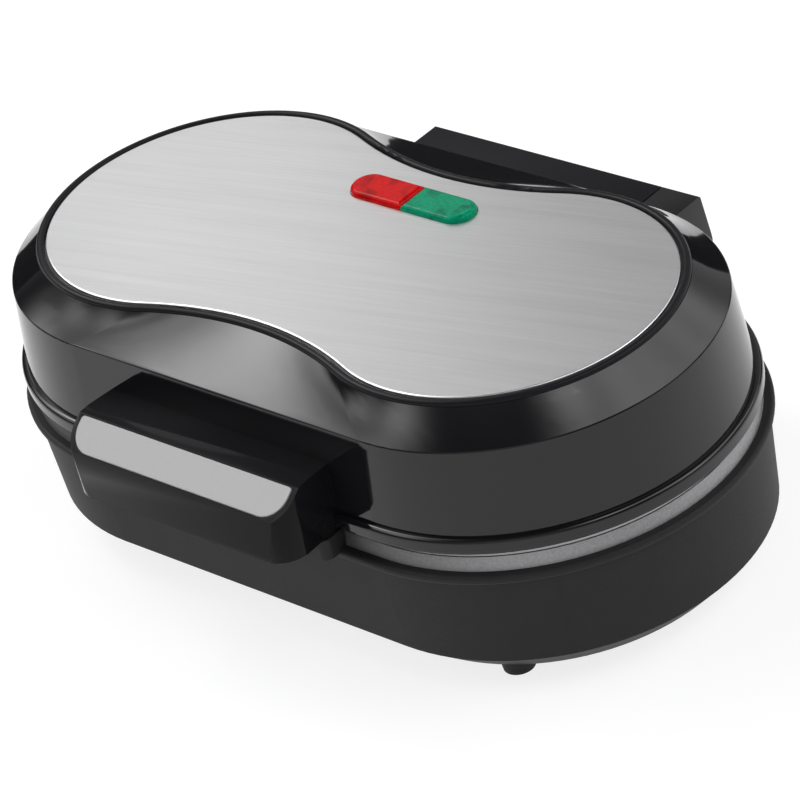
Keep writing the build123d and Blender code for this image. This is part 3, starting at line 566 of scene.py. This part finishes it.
def clear_moulding(name, groove_shade_and_pool_colour, bright):
    """Clear colour over a field of prisms about a millimetre across."""
    # The emission is a painted glow: the lens gives a little light though it is no lamp.
    clear = Finish(name, IOR=1.3, Specular_IOR_Level=0.2, Emission_Strength=0.2)
    cells = {"feature": "F1", "distance": "MANHATTAN"}
    facets = {"Vector": clear.place(), "Scale": prisms_per_metre}
    prism = clear.node("ShaderNodeTexVoronoi", cells, facets)
    pools = clear.ramp(clear.noise(0.006, 2), 0.48, 0.75)
    # Painted shade: the colour darkens in the grooves between the prisms, and in random pools.
    depth = clear.math("MINIMUM", 0.35 * prism + 0.6 * pools, 1.0)
    colour = clear.blend(depth, bright, groove_shade_and_pool_colour)
    clear.feed(Base_Color=colour, Emission_Color=colour, Roughness=0.04 + 0.04 * prism)
    clear.bump(prism, 0.00005, 0.08)


clear_moulding("red_lens", (0.24, 0.0, 0.001), (0.58, 0.003, 0.003))
clear_moulding("green_lens", (0.0, 0.08, 0.045), (0.0, 0.28, 0.14))
print("lens colours ready")

# %% [markdown]
# ## What is inside
# A few pieces show only from below or with the lid open, or never. They are finished too, so
# that the model can be taken apart: the pale heat-proof mouldings, the lamps and the woven
# sleeves of the leads.

# %% Inner finishes
pale = Finish("pale_moulding", IOR=1.5)
chalk = pale.noise(0.003, 4)
pale.feed(
    Base_Color=pale.blend(chalk, (0.62, 0.60, 0.54), (0.74, 0.72, 0.66)),
    Roughness=0.42 + 0.15 * chalk,
)

glass = Finish("lamp_glass", IOR=1.5)
tint = glass.noise(0.002, 1)
glass.feed(
    Base_Color=glass.blend(tint, (0.80, 0.66, 0.45), (0.92, 0.84, 0.66)),
    Roughness=0.06 + 0.05 * tint,
)

sleeve = Finish("lead_sleeve", IOR=1.45)
thread = sleeve.node(
    "ShaderNodeTexWave",
    {"wave_type": "BANDS", "bands_direction": "DIAGONAL"},
    {"Vector": sleeve.place(), "Scale": 420.0, "Distortion": 1.5, "Detail": 1.0},
    output=1,
)
sleeve.feed(
    Base_Color=sleeve.blend(thread, (0.52, 0.51, 0.47), (0.80, 0.79, 0.75)),
    Roughness=0.7 + 0.1 * thread,
)
sleeve.bump(thread, 0.0002, 0.6)
print("finishes:", len(finishes))

# %% [markdown]
# ## Giving each solid its finish
# Every node of the frame names a material slot in the record. The finish of that name goes
# into all of the node's slots, and its mesh isn't touched. The handle has its own black.

# %% Assign
own_finish = {"handle": "handle_black"}
for name, piece in nodes.items():
    piece.data.materials.clear()
    piece.data.materials.append(finishes[own_finish.get(name, slot_of[name])])
print("assigned", len(nodes))

# %% [markdown]
# ## Softened edges
# No moulding has a truly sharp edge, and a rounding of half a millimetre is what catches the
# thin highlights along the handle and the hinge. The edge could be faked in the shader, but
# a real one also holds from close by. So the doubled points of a copy are merged, its flat
# areas are joined, its sharp edges are bevelled, and the copy stands in for the solid.

# %% Soften
same_point = 0.000002
flat, sharp, smooth = (math.radians(angle) for angle in (0.6, 28, 40))


def soften(name, width):
    """Copy of a solid with its sharp edges rounded, which replaces the solid."""
    piece = bpy.data.objects.new(name + "_soft", nodes[name].data.copy())
    bpy.context.collection.objects.link(piece)
    bpy.ops.object.select_all(action="DESELECT")
    bpy.context.view_layer.objects.active = piece
    piece.select_set(True)
    bpy.ops.object.mode_set(mode="EDIT")
    bpy.ops.mesh.select_all(action="SELECT")
    bpy.ops.mesh.remove_doubles(threshold=same_point)
    bpy.ops.mesh.dissolve_limited(angle_limit=flat)
    bpy.ops.object.mode_set(mode="OBJECT")
    rounding = piece.modifiers.new("rounding", "BEVEL")
    rounding.width = width
    rounding.segments = 3
    rounding.limit_method = "ANGLE"
    rounding.angle_limit = sharp
    bpy.ops.object.modifier_apply(modifier="rounding")
    bpy.ops.object.shade_smooth_by_angle(angle=smooth)
    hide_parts(name)
    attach(piece, body_of[name])
    print(piece.name, "faces:", len(piece.data.polygons))


print("ready to soften")

# %% [markdown]
# Four pieces get it, with the width of each in metres. The lid could have it along its
# crease too, but a rounding there spoils the smooth shading of the slope, so the lid keeps
# the sharp edge of its solid.

# %% Rounded pieces
edge_rounding = {
    "handle": 0.0005,
    "hinge_block": 0.0004,
    "hinge_cap": 0.0004,
    "hinge_bracket": 0.0005,
}
for name, width in edge_rounding.items():
    soften(name, width)

# %% Closing
print("done")
